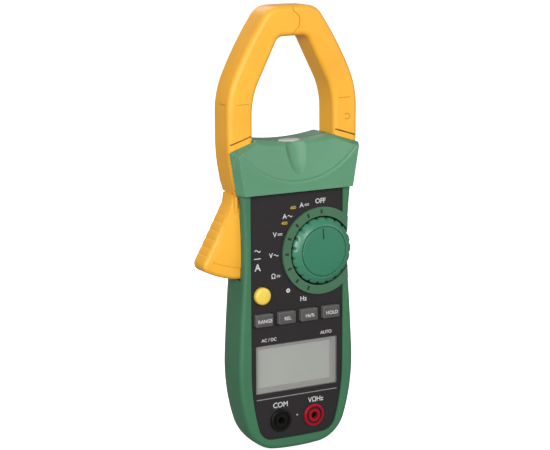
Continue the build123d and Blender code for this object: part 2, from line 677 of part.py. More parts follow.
def nodes():
    moving = moving_jaw()
    fixed = fixed_jaw()
    left_jack, right_jack = jack_centres()
    parts = {
        "front_case": front_case(),
        "rear_case": rear_case(),
        "head_cover": head_cover(),
        "face_panel": face_panel(),
        "dial_ring": dial_ring(),
        "lcd_lens": lcd_lens(),
        "lcd_glass": lcd_glass(),
        "lcd_contact_strips": contact_strips(),
        "main_board": main_board(),
        "key_mat": key_mat(),
        "com_jack": input_jack(left_jack),
        "volt_jack": input_jack(right_jack),
        "jack_contacts": jack_contacts(),
        "battery": battery(),
        "battery_snap": battery_snap(),
        "battery_cover": battery_cover(),
        "battery_cover_screw": battery_cover_screw(),
        "case_screws": case_screws(),
        "board_screws": board_screws(),
        "buzzer": buzzer(),
        "lamp_lens": lamp_lens(),
        "lamp_led": lamp_led(),
        "fixed_jaw_front": front_half(fixed),
        "fixed_jaw_rear": rear_half(fixed),
        "fixed_jaw_core": jaw_core(1),
        "fixed_jaw_screws": jaw_screws(),
        "hall_sensor": hall_sensor(),
        "jaw_pivot_pin": jaw_pivot_pin(),
        "jaw_spring": jaw_spring(),
        "moving_jaw_front": front_half(moving),
        "moving_jaw_rear": rear_half(moving),
        "moving_jaw_core": jaw_core(-1),
        "trigger": trigger(),
        "selector_knob": selector_knob(),
        "knob_cap": knob_cap(),
        "selector_rotor": selector_rotor(),
        "rotor_wipers": rotor_wipers(),
        "detent_balls": detent_balls(),
        "select_button": select_button(),
    }
    for name, centre in zip(KEY_NAMES, key_centres()):
        parts[name] = key(centre)
    return parts


os.makedirs("parts", exist_ok=True)
for node, shape in nodes().items():
    export_step(shape, f"parts/{node}.step")
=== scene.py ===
import json
from math import atan2, cos, pi, radians, sin

import bmesh
import bpy
from mathutils import Matrix, Vector


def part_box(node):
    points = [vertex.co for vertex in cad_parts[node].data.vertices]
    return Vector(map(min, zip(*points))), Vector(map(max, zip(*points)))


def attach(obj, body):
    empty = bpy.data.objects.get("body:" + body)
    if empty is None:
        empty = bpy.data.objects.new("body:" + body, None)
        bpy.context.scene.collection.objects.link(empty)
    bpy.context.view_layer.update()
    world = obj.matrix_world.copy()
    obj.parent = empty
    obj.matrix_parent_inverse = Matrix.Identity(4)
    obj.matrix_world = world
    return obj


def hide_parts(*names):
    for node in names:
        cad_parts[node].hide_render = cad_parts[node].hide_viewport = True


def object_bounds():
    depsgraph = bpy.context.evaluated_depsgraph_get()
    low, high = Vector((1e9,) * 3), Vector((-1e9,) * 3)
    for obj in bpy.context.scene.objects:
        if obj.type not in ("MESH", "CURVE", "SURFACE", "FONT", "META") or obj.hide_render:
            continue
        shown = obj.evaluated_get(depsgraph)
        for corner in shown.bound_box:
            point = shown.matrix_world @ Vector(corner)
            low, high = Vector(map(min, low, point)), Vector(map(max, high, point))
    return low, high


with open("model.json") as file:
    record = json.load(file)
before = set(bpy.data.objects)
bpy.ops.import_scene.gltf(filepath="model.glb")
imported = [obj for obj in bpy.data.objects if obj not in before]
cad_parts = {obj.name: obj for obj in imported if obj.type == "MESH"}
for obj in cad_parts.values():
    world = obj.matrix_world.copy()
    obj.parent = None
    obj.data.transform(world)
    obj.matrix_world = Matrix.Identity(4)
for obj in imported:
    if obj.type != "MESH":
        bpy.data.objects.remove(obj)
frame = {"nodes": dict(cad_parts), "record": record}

# Clamp meter, upright: +X right, +Y into the meter, +Z to the jaws. Lengths are in metres.
# The front panel's face is the plane y = 0.
MM = 0.001
CAD_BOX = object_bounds()


# ---------------------------------------------------------------- places, from the frame

def low(node):
    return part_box(node)[0]


def high(node):
    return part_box(node)[1]


def middle(node):
    return (low(node) + high(node)) / 2


DIAL = middle("knob_cap")
BUTTON = middle("select_button")
WINDOW_LOW = low("lcd_lens")
WINDOW_HIGH = high("lcd_lens")
JACKS = {"com_jack": middle("com_jack"), "volt_jack": middle("volt_jack")}
TRIGGER_LOW = low("trigger")
TRIGGER_HIGH = high("trigger")
INK = 0.03 * MM                     # how far print stands off the face
MARK_LEVEL = 116 * MM               # height of the alignment ribs on both jaws
DIAL_POSITIONS = 8
DIAL_STEP = 22.5                    # degrees between two positions of the selector
MERGE = 1e-7                        # points nearer than this become one


# ---------------------------------------------------------------- materials

def shader(name, roughness, metallic=0.0, ior=1.46):
    """New material: its node tree, its shader node, and the object coordinates."""
    material = bpy.data.materials.new(name)
    material.use_nodes = True
    tree = material.node_tree
    surface = tree.nodes["Principled BSDF"]
    surface.inputs["Roughness"].default_value = roughness
    surface.inputs["Metallic"].default_value = metallic
    surface.inputs["IOR"].default_value = ior
    place = tree.nodes.new("ShaderNodeTexCoord").outputs["Object"]
    return material, tree, surface, place


def noise(tree, place, per_mm, detail=3.0, roughness=0.55):
    """Value that wanders between 0 and 1, in spots of about 1 / per_mm millimetres."""
    node = tree.nodes.new("ShaderNodeTexNoise")
    node.inputs["Scale"].default_value = per_mm / MM
    node.inputs["Detail"].default_value = detail
    node.inputs["Roughness"].default_value = roughness
    tree.links.new(place, node.inputs["Vector"])
    return node.outputs["Fac"]


def spread(tree, value, start, end, to_low, to_high):
    """Stretches the part of a value between start and end over another range."""
    node = tree.nodes.new("ShaderNodeMapRange")
    node.inputs["From Min"].default_value = start
    node.inputs["From Max"].default_value = end
    node.inputs["To Min"].default_value = to_low
    node.inputs["To Max"].default_value = to_high
    tree.links.new(value, node.inputs["Value"])
    return node.outputs["Result"]


def blend_colours(tree, factor, first, second):
    node = tree.nodes.new("ShaderNodeMix")
    node.data_type = "RGBA"
    tree.links.new(factor, node.inputs["Factor"])
    for socket, colour in ((node.inputs["A"], first), (node.inputs["B"], second)):
        if isinstance(colour, tuple):
            socket.default_value = (*colour, 1.0)
        else:
            tree.links.new(colour, socket)
    return node.outputs["Result"]


def bump(tree, surface, height, depth_mm, strength=0.6):
    node = tree.nodes.new("ShaderNodeBump")
    node.inputs["Strength"].default_value = strength
    node.inputs["Distance"].default_value = depth_mm * MM
    tree.links.new(height, node.inputs["Height"])
    tree.links.new(node.outputs["Normal"], surface.inputs["Normal"])


def moulded(name, colour, roughness=0.42, grain_depth=0.008, wear=0.0, ior=1.46):
    """Moulded plastic: fine spark-eroded grain, faint flow marks and, if worn, paler rubbed edges."""
    material, tree, surface, place = shader(name, roughness, ior=ior)
    darker = tuple(c * 0.93 for c in colour)
    lighter = tuple(min(1.0, c * 1.06) for c in colour)
    base = blend_colours(tree, spread(tree, noise(tree, place, 0.035), 0.3, 0.7, 0, 1), darker, lighter)
    if wear:
        edge = tree.nodes.new("ShaderNodeNewGeometry").outputs["Pointiness"]
        rubbed = tuple(c * 0.6 + 0.22 for c in colour)
        base = blend_colours(tree, spread(tree, edge, 0.51, 0.6, 0, wear), base, rubbed)
    tree.links.new(base, surface.inputs["Base Color"])
    sheen = spread(tree, noise(tree, place, 0.12), 0.25, 0.75, roughness - 0.03, roughness + 0.04)
    tree.links.new(sheen, surface.inputs["Roughness"])
    bump(tree, surface, noise(tree, place, 2.2, detail=2.0), grain_depth)
    return material


def printed(name, colour):
    """Silk-screen ink: nearly flat, slightly uneven in cover."""
    material, tree, surface, place = shader(name, 0.5)
    thin = tuple(c * 0.8 for c in colour)
    cover = spread(tree, noise(tree, place, 1.6), 0.3, 0.6, 0, 1)
    tree.links.new(blend_colours(tree, cover, thin, colour), surface.inputs["Base Color"])
    return material


def metal(name, colour, roughness=0.3, streak=(0.3, 6.0, 6.0)):
    """Bare metal with fine lengthwise scratches and a dull patina."""
    material, tree, surface, place = shader(name, roughness, metallic=1.0)
    mapping = tree.nodes.new("ShaderNodeMapping")
    mapping.inputs["Scale"].default_value = streak
    tree.links.new(place, mapping.inputs["Vector"])
    scratch = noise(tree, mapping.outputs["Vector"], 1.0, detail=4.0)
    dull = tuple(c * 0.7 for c in colour)
    tree.links.new(blend_colours(tree, noise(tree, place, 0.3), dull, colour), surface.inputs["Base Color"])
    worn = spread(tree, scratch, 0.2, 0.8, roughness - 0.08, roughness + 0.12)
    tree.links.new(worn, surface.inputs["Roughness"])
    bump(tree, surface, scratch, 0.01, 0.3)
    return material


def clear(name, colour, cover, roughness=0.08):
    """Clear or frosted moulded plastic: cover is how much of the light it stops."""
    material, tree, surface, place = shader(name, roughness, ior=1.49)
    surface.inputs["Alpha"].default_value = cover
    paler = tuple(min(1.0, c * 1.05) for c in colour)
    tree.links.new(blend_colours(tree, noise(tree, place, 0.05), colour, paler), surface.inputs["Base Color"])
    return material


def display(name):
    """Unlit liquid crystal: grey-green and slightly uneven."""
    material, tree, surface, place = shader(name, 0.4)
    base = blend_colours(tree, noise(tree, place, 0.03), (0.27, 0.28, 0.25), (0.32, 0.325, 0.295))
    tree.links.new(base, surface.inputs["Base Color"])
    return material


def rubber(name, colour):
    """Dull rubber with a dusty bloom."""
    material, tree, surface, place = shader(name, 0.75)
    dusty = tuple(c + 0.03 for c in colour)
    tree.links.new(blend_colours(tree, noise(tree, place, 0.5), colour, dusty), surface.inputs["Base Color"])
    bump(tree, surface, noise(tree, place, 2.0), 0.02)
    return material


MATERIALS = {
    "case_green": moulded("case_green", (0.04, 0.155, 0.076), 0.46),
    "head_green": moulded("head_green", (0.09, 0.25, 0.14), 0.46, wear=0.2),
    "ring_green": moulded("ring_green", (0.05, 0.14, 0.074), 0.48),
    "knob_green": moulded("knob_green", (0.03, 0.175, 0.095), 0.4, wear=0.2),
    "panel_dark": moulded("panel_dark", (0.018, 0.016, 0.016), 0.5, grain_depth=0.003, ior=1.35),
    "jaw_yellow": moulded("jaw_yellow", (0.85, 0.405, 0.03), 0.42),
    "button_yellow": moulded("button_yellow", (0.82, 0.58, 0.09), 0.24, grain_depth=0.003),
    "key_grey": moulded("key_grey", (0.075, 0.072, 0.069), 0.42, wear=0.5),
    "black_plastic": moulded("black_plastic", (0.003, 0.003, 0.003), 0.35, grain_depth=0.003, ior=1.35),
    "red_plastic": moulded("red_plastic", (0.3, 0.002, 0.014), 0.3, grain_depth=0.003, ior=1.4),
    "white_plastic": moulded("white_plastic", (0.72, 0.72, 0.68), 0.4),
    "clear_plastic": clear("clear_plastic", (0.7, 0.72, 0.7), 0.1),
    "display": display("display"),
    "dark_rubber": rubber("dark_rubber", (0.02, 0.02, 0.02)),
    "board": moulded("board", (0.02, 0.12, 0.045), 0.3),
    "battery_can": metal("battery_can", (0.12, 0.12, 0.13), 0.35),
    "core_steel": metal("core_steel", (0.42, 0.42, 0.44), 0.4, streak=(6.0, 0.3, 6.0)),
    "steel": metal("steel", (0.6, 0.6, 0.6), 0.3),
    "brass": metal("brass", (0.75, 0.55, 0.24), 0.25),
}
WHITE_INK = printed("white_ink", (0.6, 0.6, 0.6))
YELLOW_INK = printed("yellow_ink", (0.62, 0.38, 0.06))
DARK_INK = printed("dark_ink", (0.01, 0.02, 0.013))
# Darker copy of the jaw yellow: painted shade standing in for the relief of the jaw ribs and the hook mark.
RIB_PAINTED_SHADE = moulded("jaw_rib_painted_shade", (0.55, 0.24, 0.025), 0.45)
# Lighter than the knob's green: painted highlight on the knob's bevel and scallops; its lower roughness is
# the real polish.
KNOB_BEVEL_PAINTED_HIGHLIGHT = moulded("knob_bevel_painted_highlight", (0.045, 0.2, 0.115), 0.26)
# Darker copy of the red plastic: painted shade in the ring groove of the red jack.
RED_JACK_PAINTED_SHADE = moulded("red_jack_painted_shade", (0.04, 0.001, 0.004), 0.4)
# Dark brown: painted shade on the floors of the jaws' root grooves.
GROOVE_PAINTED_SHADE = moulded("jaw_groove", (0.2, 0.075, 0.01), 0.6)
FRAME_GREY = moulded("display_frame", (0.2, 0.19, 0.175), 0.4)
# Light grey on the dark panel: painted highlight of the moulded ridge under the display.
RIDGE_PAINTED_HIGHLIGHT = moulded("panel_ridge_painted_highlight", (0.25, 0.24, 0.23), 0.4)
FROSTED = clear("frosted", (0.5, 0.51, 0.49), 0.9, 0.3)


def paint_frame():
    """Gives every CAD node the material of its slot in the record."""
    for row in frame["record"]["subparts"]:
        slots = frame["nodes"][row["node"]].data.materials
        slots.clear()
        slots.append(MATERIALS[row["material_slot"]])
    frame["nodes"]["lamp_lens"].data.materials[0] = FROSTED


# ---------------------------------------------------------------- making pieces

def piece(name, mesh_parts, body, material, replaced=()):
    """One object from a bmesh, riding on a body, with the material it is given; the CAD nodes it replaces are
    hidden.
    """
    mesh = bpy.data.meshes.new(name)
    bmesh.ops.recalc_face_normals(mesh_parts, faces=mesh_parts.faces)
    mesh_parts.to_mesh(mesh)
    mesh_parts.free()
    mesh.shade_smooth()
    mesh.set_sharp_from_angle(angle=radians(38))
    obj = bpy.data.objects.new(name, mesh)
    bpy.context.scene.collection.objects.link(obj)
    mesh.materials.append(material)
    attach(obj, body)
    if replaced:
        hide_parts(*replaced)
    return obj


def ring_strip(parts, rings, capped=True):
    """Skin through equal rings of points, with flat ends if capped."""
    loops = [[parts.verts.new(point) for point in ring] for ring in rings]
    for first, second in zip(loops, loops[1:]):
        count = len(first)
        for i in range(count):
            j = (i + 1) % count
            parts.faces.new((first[i], first[j], second[j], second[i]))
    if capped:
        parts.faces.new(loops[0][::-1])
        parts.faces.new(loops[-1])


def ring_loop(parts, rings):
    """Skin through rings that come round to the first one again."""
    ring_strip(parts, rings + rings[:1], capped=False)
    bmesh.ops.remove_doubles(parts, verts=parts.verts, dist=MERGE)


def inward(points):
    """Mitred steps of unit depth into a closed anticlockwise outline of (x, z) points."""
    count = len(points)
    result = []
    for i in range(count):
        arriving = (Vector(points[i]) - Vector(points[i - 1])).normalized()
        leaving = (Vector(points[(i + 1) % count]) - Vector(points[i])).normalized()
        along = (arriving + leaving).normalized()
        mitre = 1 / max(0.5, along.dot(leaving))
        result.append(Vector((-along.y, along.x)) * mitre)
    return result


def rounded_slab(parts, points, near, far, radius, back_radius=0.0, steps=5, guide=None):
    """Solid of an outline between two depths, its rims rounded square to the guide outline."""
    normals = inward(guide or points)
    rings = []
    for depth, size, order in ((near, radius, 1), (far, back_radius, -1)):
        rim = []
        count = steps if size else 0
        for k in range(count + 1):
            angle = pi / 2 * k / max(count, 1)
            inset = size * (1 - sin(angle))
            y = depth + order * size * (1 - cos(angle))
            rim.append([(p[0] + n.x * inset, y, p[1] + n.y * inset) for p, n in zip(points, normals)])
        rings += rim[::order]
    ring_strip(parts, rings)


def round_outline(x, z, half_width, half_height, corner, steps=6):
    """Anticlockwise rectangle with round corners."""
    points = []
    for quarter, (sx, sz) in enumerate(((1, 1), (-1, 1), (-1, -1), (1, -1))):
        for k in range(steps + 1):
            angle = pi / 2 * (quarter + k / steps)
            centre_x = x + sx * (half_width - corner)
            centre_z = z + sz * (half_height - corner)
            points.append((centre_x + corner * cos(angle), centre_z + corner * sin(angle)))
    return points


def circle(x, z, radius, steps=72):
    angles = [2 * pi * i / steps for i in range(steps)]
    return [(x + radius * cos(angle), z + radius * sin(angle)) for angle in angles]


def softened(node, voxel, passes):
    """Moulded version of a hard-edged CAD node: every edge is rubbed round."""
    source = frame["nodes"][node]
    work = bpy.data.objects.new("work", source.data.copy())
    bpy.context.scene.collection.objects.link(work)
    remesh = work.modifiers.new("voxels", "REMESH")
    remesh.mode = "VOXEL"
    remesh.voxel_size = voxel
    smooth = work.modifiers.new("smooth", "SMOOTH")
    smooth.factor = 0.5
    smooth.iterations = passes
    bpy.context.view_layer.update()
    shape = bpy.data.meshes.new_from_object(work.evaluated_get(bpy.context.evaluated_depsgraph_get()))
    parts = bmesh.new()
    parts.from_mesh(shape)
    bpy.data.objects.remove(work)
    bpy.data.meshes.remove(shape)
    return parts


# ---------------------------------------------------------------- head and lever

def head():
    """Head moulding: edges rubbed round, its arched facet leaning back and marked off by a crease."""
    parts = softened("head_cover", 0.4 * MM, 3)
    arch = Vector((0.0, 118.6 * MM))
    reach, lean = 45.4 * MM, 0.13
    behind, blend = 3.0 * MM, 5.0 * MM
    crease_depth, crease_reach = 0.5 * MM, 0.9 * MM
    for vertex in parts.verts:
        inside = reach - (Vector((vertex.co.x, vertex.co.z)) - arch).length
        crease = crease_depth * max(0.0, 1 - abs(inside) / crease_reach)
        if vertex.co.y < behind:
            share = min(1.0, (behind - vertex.co.y) / blend)
            vertex.co.y += (lean * max(0.0, inside) + crease) * share
    piece("head_shell", parts, "root", MATERIALS["head_green"], ["head_cover"])


def degrees_of(vector):
    return atan2(vector.y, vector.x) * 180 / pi


def arc(centre, radius, start, end, steps):
    """Points on a circle between two angles in degrees."""
    result = []
    for k in range(steps + 1):
        angle = radians(start + (end - start) * k / steps)
        result.append((centre[0] + radius * cos(angle), centre[1] + radius * sin(angle)))
    return result


def ridged_slope(top, down, out, length, groove_depth):
    """Points down the trigger's outer slope, with narrow grooves that leave ridges between them."""
    first, pitch, ridges = 6.0 * MM, 5.0 * MM, 5
    steps = 110
    points = []
    for k in range(steps):
        along = length * k / steps
        wave = 0.0
        if first <= along <= first + ridges * pitch:
            wave = 1 - abs(sin(pi * (along - first) / pitch)) ** 0.5
        points.append(tuple(top + down * along - out * groove_depth * wave))
    return points


def trigger_outline(groove_depth):
    """Finger lever: ridged slope, round tip and a lower edge that is an arc about the jaw pin."""
    pin = middle("jaw_pivot_pin")
    hub = Vector((pin.x, pin.z))
    reach = pin.z - TRIGGER_LOW.z
    top = Vector((-37.2 * MM, 62.5 * MM))
    down = Vector((-0.483, -0.876)).normalized()
    out = Vector((down.y, -down.x))
    tip_radius = 4.0 * MM
    length, length_step = 0.0, 0.02 * MM
    while (top + down * length - out * tip_radius - hub).length < reach - tip_radius:
        length += length_step
    tip = top + down * length - out * tip_radius
    tip_end = degrees_of(tip - hub) % 360
    heel_angle = 262
    points = [(-36.3 * MM, TRIGGER_HIGH.z)]
    points += ridged_slope(top, down, out, length, groove_depth)
    points += arc(tip, tip_radius, degrees_of(out) % 360, tip_end, 12)
    points += arc(hub, reach, tip_end + 1, heel_angle, 26)
    points.append((hub.x - 3.9 * MM, TRIGGER_LOW.z + 0.13 * MM))
    points.append((TRIGGER_HIGH.x - 0.2 * MM, TRIGGER_HIGH.z))
    return points


def trigger():
    """Lever with rounded rims, and the raised pad on its near side."""
    groove_depth = 0.4 * MM
    rim, rim_steps = 2.4 * MM, 7
    lever = bmesh.new()
    rounded_slab(lever, trigger_outline(groove_depth), TRIGGER_LOW.y, TRIGGER_HIGH.y, rim, rim,
                 rim_steps, guide=trigger_outline(0.0))
    piece("trigger_lever", lever, "moving_jaw", MATERIALS["jaw_yellow"], ["trigger"])
    corners = [(-38.3, 61.0), (-45.4, 43.0), (-49.2, 35.2), (-49.7, 33.2), (-48.6, 32.0), (-42.2, 29.7),
               (-36.0, 28.2), (-31.5, 27.6), (-31.5, 61.0)]
    outline = [(x * MM, z * MM) for x, z in corners]
    raised, sunk, pad_rim = 0.45 * MM, 0.5 * MM, 0.4 * MM
    pad = bmesh.new()
    rounded_slab(pad, outline, TRIGGER_LOW.y - raised, TRIGGER_LOW.y + sunk, pad_rim, steps=3)
    piece("trigger_side_pad", pad, "moving_jaw", MATERIALS["jaw_yellow"])


def add_flank_rib(parts, jaw_low, width):
    """Adds a flat strip of darker jaw yellow on the left jaw's outer flank: painted shade standing in for its
    level rib.
    """
    flank = -39.9 * MM
    front, back = jaw_low.y - 5.0 * MM, jaw_low.y + 1.0 * MM
    outer, inner = flank - INK, flank + INK
    bottom, top = MARK_LEVEL - width / 2, MARK_LEVEL + width / 2
    corners = [(outer, bottom), (inner, bottom), (inner, top), (outer, top)]
    ring_strip(parts, [[(x, y, z) for x, z in corners] for y in (front, back)])


def jaw_marks():
    """Flat strips of darker jaw yellow on both jaws: painted shade standing in for the alignment ribs and, on
    the right jaw, the hook mark; and dark strips on the floors of the root grooves, painted shade in the
    grooves.
    """
    face = low("moving_jaw_front").y
    rib = 0.45 * MM
    rib_start, rib_end = 27.6 * MM, 35.0 * MM
    hook_centre, hook_radius = (33.0 * MM, 105.6 * MM), 1.6 * MM
    groove_ends = ((26.0, 98.9), (38.8, 94.87))
    groove_width, groove_depth = 0.78 * MM, 0.9 * MM
    for name, body, side in (("left_jaw_marks", "moving_jaw", -1), ("right_jaw_marks", "root", 1)):
        parts = bmesh.new()
        add_stroke(parts, [(side * rib_start, MARK_LEVEL), (side * rib_end, MARK_LEVEL)], rib, face)
        if side > 0:
            add_stroke(parts, arc(hook_centre, hook_radius, -150, 150, 14), 1.4 * rib, face)
        else:
            add_flank_rib(parts, low("moving_jaw_rear"), rib)
        # darker jaw yellow: painted shade of the ribs and the hook mark
        piece(name, parts, body, RIB_PAINTED_SHADE)
        # Dark strip on the groove floor: painted shade in the root groove.
        groove_shade_line = bmesh.new()
        ends = [(side * x * MM, z * MM) for x, z in groove_ends]
        add_stroke(groove_shade_line, ends, groove_width, face + groove_depth)
        piece(name.replace("marks", "groove"), groove_shade_line, body, GROOVE_PAINTED_SHADE)


# ---------------------------------------------------------------- selector

def knob_skirt():
    """Knob's skirt: finger scallops round its edge and a polished bevel up to the cap, in a green lighter
    than the cap's that is painted highlight.
    """
    scallops, steps = 20, 320
    half_scallop = radians(9)
    scallop_depth, scallop_foot, scallop_run = 0.9, 17.0, 1.4
    flat = high("selector_knob").y
    front = low("knob_cap").y + 0.3 * MM
    skirt = front + 2.7 * MM
    back = 1.2 * MM
    profile = [(5.0, flat), (5.0, back), (17.6, back), (18.1, back - 0.3 * MM), (18.4, skirt + 0.5 * MM),
               (18.3, skirt), (17.8, skirt - 0.5 * MM), (17.0, skirt - 1.1 * MM), (16.0, front + 0.85 * MM),
               (15.0, front + 0.25 * MM), (14.6, front), (14.0, front + 0.05 * MM), (13.9, front + 0.9 * MM)]
    rings = []
    for r, y in profile:
        bite = max(0.0, (r - scallop_foot) / scallop_run)
        ring = []
        for k in range(steps):
            angle = 2 * pi * k / steps
            dip = max(0.0, cos(scallops * (angle - half_scallop))) ** 2
            reach = r * MM - dip * bite * scallop_depth * MM
            ring.append((DIAL.x + reach * cos(angle), y, DIAL.z + reach * sin(angle)))
        rings.append(ring)
    parts = bmesh.new()
    ring_strip(parts, rings)
    # lighter green of the skirt: painted highlight
    piece("knob_skirt", parts, "selector", KNOB_BEVEL_PAINTED_HIGHLIGHT, ["selector_knob"])


def knob_top():
    """Knob's flat cap, and its index line a little past the OFF tick."""
    face, back = low("knob_cap").y, high("knob_cap").y
    radius = (high("knob_cap").x - low("knob_cap").x) / 2
    parts = bmesh.new()
    rounded_slab(parts, circle(DIAL.x, DIAL.z, radius, 96), face, back, 0.5 * MM)
    piece("knob_top", parts, "selector", MATERIALS["knob_green"], ["knob_cap"])
    steps_past_off = 0.2
    line_width = 0.75 * MM
    line = [dial_place(steps_past_off, radius - inset * MM) for inset in (0.8, 6.4)]
    parts = bmesh.new()
    add_stroke(parts, line, line_width, face)
    piece("index_line", parts, "selector", DARK_INK)


def dial_surround():
    """Black annulus in the gap round the knob, painted shade there, and the ring's printed ticks."""
    inner, outer = 15.0, 19.2
    near, far = 1.35, 1.6
    gap_shade_rings = []
    for r, y in ((inner, near), (outer, near), (outer, far), (inner, far)):
        gap_shade_rings.append([(x, y * MM, z) for x, z in circle(DIAL.x, DIAL.z, r * MM, 96)])
    parts = bmesh.new()
    ring_loop(parts, gap_shade_rings)
    # Black plastic here is painted shade in the gap between the knob and the ring.
    piece("dial_gap_painted_shade", parts, "root", MATERIALS["black_plastic"])
    tick_start, tick_end, tick_width = 20.5 * MM, 22.9 * MM, 1.25 * MM
    face = low("dial_ring").y + 0.02 * MM
    parts = bmesh.new()
    for step in range(DIAL_POSITIONS):
        add_stroke(parts, [dial_place(step, tick_start), dial_place(step, tick_end)], tick_width, face)
    piece("dial_ticks", parts, "root", DARK_INK)


# ---------------------------------------------------------------- buttons, display, jacks

def add_pillow(parts, x, z, half_width, half_height, corner, face, back, crown):
    """Key cap: straight sides, round rim and a slightly crowned top."""
    outline = round_outline(x, z, half_width, half_height, corner)
    normals = inward(outline)
    rings = [[(p[0], back, p[1]) for p in outline]]
    rim, rim_steps = 0.7 * MM, 5
    for k in range(rim_steps + 1):
        angle = pi / 2 * k / rim_steps
        inset, y = rim * (1 - cos(angle)), face + crown + rim * (1 - sin(angle))
        rings.append([(p[0] + n.x * inset, y, p[1] + n.y * inset) for p, n in zip(outline, normals)])
    edge = rings[-1]
    for share in (0.75, 0.45, 0.15):
        y = face + crown * share ** 2
        rings.append([(x + (p[0] - x) * share, y, z + (p[2] - z) * share) for p in edge])
    ring_strip(parts, rings)


def keys():
    """Four grey key caps and the white print on them."""
    labels = {"range_key": "RANGE", "relative_key": "REL", "frequency_key": "Hz/%", "hold_key": "HOLD"}
    side_gap, end_gap = 0.8 * MM, 0.7 * MM
    corner, crown = 0.9 * MM, 0.25 * MM
    letter_height, letter_drop = 1.9 * MM, 0.3 * MM
    for node, words in labels.items():
        low_corner, high_corner = low(node), high(node)
        centre = middle(node)
        width = (high_corner.x - low_corner.x) / 2 - side_gap
        height = (high_corner.z - low_corner.z) / 2 - end_gap
        parts = bmesh.new()
        add_pillow(parts, centre.x, centre.z, width, height, corner, low_corner.y, high_corner.y, crown)
        piece(node + "_cap", parts, node, MATERIALS["key_grey"], [node])
        parts = bmesh.new()
        face = low_corner.y + 0.02 * MM
        add_text(parts, words, centre.x, centre.z - letter_drop, letter_height, face)
        piece(node + "_print", parts, node, WHITE_INK)


def button():
    """Round yellow button, its face curving away to a straight side."""
    radius = 4.8
    front = low("select_button").y / MM
    back = high("select_button").y / MM
    profile = [(radius, back), (radius, front + 1.6), (radius - 0.1, front + 1.1),
               (radius - 0.5, front + 0.6), (radius - 1.2, front + 0.25), (radius - 2.4, front + 0.05),
               (1.0, front)]
    rings = [[(x, y * MM, z) for x, z in circle(BUTTON.x, BUTTON.z, r * MM, 64)] for r, y in profile]
    parts = bmesh.new()
    ring_strip(parts, rings)
    yellow = MATERIALS["button_yellow"]
    piece("select_button_cap", parts, "select_button", yellow, ["select_button"])


def display_frame():
    """Grey stepped frame between the window and the liquid crystal."""
    centre = middle("lcd_lens")
    half_width, half_height = 24.1, 12.1
    corner = 0.6 * MM
    profile = [(-1.4, 1.63), (0.15, 1.63), (0.2, 2.4), (0.65, 2.5), (0.75, 3.1), (1.3, 3.3), (1.3, 3.38),
               (0.0, 3.38), (0.0, 1.68), (-1.4, 1.68)]
    rings = []
    for inset, y in profile:
        width, height = (half_width - inset) * MM, (half_height - inset) * MM
        outline = round_outline(centre.x, centre.z, width, height, corner, 3)
        rings.append([(x, y * MM, z) for x, z in outline])
    parts = bmesh.new()
    ring_loop(parts, rings)
    piece("display_frame", parts, "root", FRAME_GREY)


def jack_wells():
    """Ring on the floor of the ring groove in each jack's face: black on the common jack, and on the red jack
    a darker red that is painted shade in the groove.
    """
    radius, width, depth = 4.25 * MM, 1.2 * MM, 0.8 * MM
    for node, slot, material in (("com_jack", "black_plastic", MATERIALS["black_plastic"]),
                                 ("volt_jack", "red_plastic", RED_JACK_PAINTED_SHADE)):
        parts = bmesh.new()
        add_ring(parts, JACKS[node].x, JACKS[node].z, radius, width, low(node).y + depth)
        piece(node + "_well", parts, "root", material)


# ---------------------------------------------------------------- print on the front

def add_text(parts, words, x, z, height, face):
    """Adds flat lettering, centred on (x, z), facing the front at depth face."""
    curve = bpy.data.curves.new("words", "FONT")
    curve.body = words
    curve.align_x = "CENTER"
    curve.align_y = "CENTER"
    capital, boldness = 0.7, 0.022          # as shares of the font's size and of the letters' height
    curve.size = height / capital
    curve.extrude = INK / 2
    curve.offset = height * boldness
    curve.resolution_u = 4
    source = bpy.data.objects.new("words", curve)
    flat = bpy.data.meshes.new_from_object(source)
    turn = Matrix(((1, 0, 0, x), (0, 0, -1, face - INK / 2), (0, 1, 0, z), (0, 0, 0, 1)))
    flat.transform(turn)
    parts.from_mesh(flat)
    bpy.data.meshes.remove(flat)
    bpy.data.objects.remove(source)
    bpy.data.curves.remove(curve)


def add_stroke(parts, points, width, face):
    """Adds a flat line of even width through (x, z) points, as a thin closed ribbon."""
    count = len(points)
    rims = []
    for index, point in enumerate(points):
        before = Vector(points[max(index - 1, 0)])
        after = Vector(points[min(index + 1, count - 1)])
        along = (after - before).normalized()
        across = Vector((-along.y, along.x)) * width / 2
        here = Vector(point)
        corners = (here + across, here - across)
        front = [parts.verts.new((c.x, face - INK, c.y)) for c in corners]
        back = [parts.verts.new((c.x, face, c.y)) for c in corners]
        rims.append((front[0], front[1], back[1], back[0]))
    for first, second in zip(rims, rims[1:]):
        for side in range(4):
            other = (side + 1) % 4
            parts.faces.new((first[side], first[other], second[other], second[side]))
    parts.faces.new(rims[0][::-1])
    parts.faces.new(rims[-1])


def add_wave(parts, x, z, width, face):
    """Alternating-current sign: one full wave."""
    steps = 12
    swing, line = width * 0.16, width * 0.14
    shares = [i / steps for i in range(steps + 1)]
    points = [(x + width * (share - 0.5), z + swing * sin(2 * pi * share)) for share in shares]
    add_stroke(parts, points, line, face)


def add_direct(parts, x, z, width, face):
    """Direct-current sign: a bar over three dashes."""
    line = width * 0.13
    add_stroke(parts, [(x - width / 2, z + line), (x + width / 2, z + line)], line, face)
    for step in (-1, 0, 1):
        centre = x + step * width * 0.37
        add_stroke(parts, [(centre - width * 0.12, z - line), (centre + width * 0.12, z - line)], line, face)


def add_diode(parts, x, z, height, face):
    """Diode sign: a triangle against a bar, on a line."""
    half = height / 2
    line = height * 0.17
    triangle = [(x - half, z + half), (x + half, z), (x - half, z - half), (x - half, z + half)]
    add_stroke(parts, triangle, line, face)
    add_stroke(parts, [(x + half, z + half), (x + half, z - half)], line, face)
    add_stroke(parts, [(x - height, z), (x + height, z)], line, face)


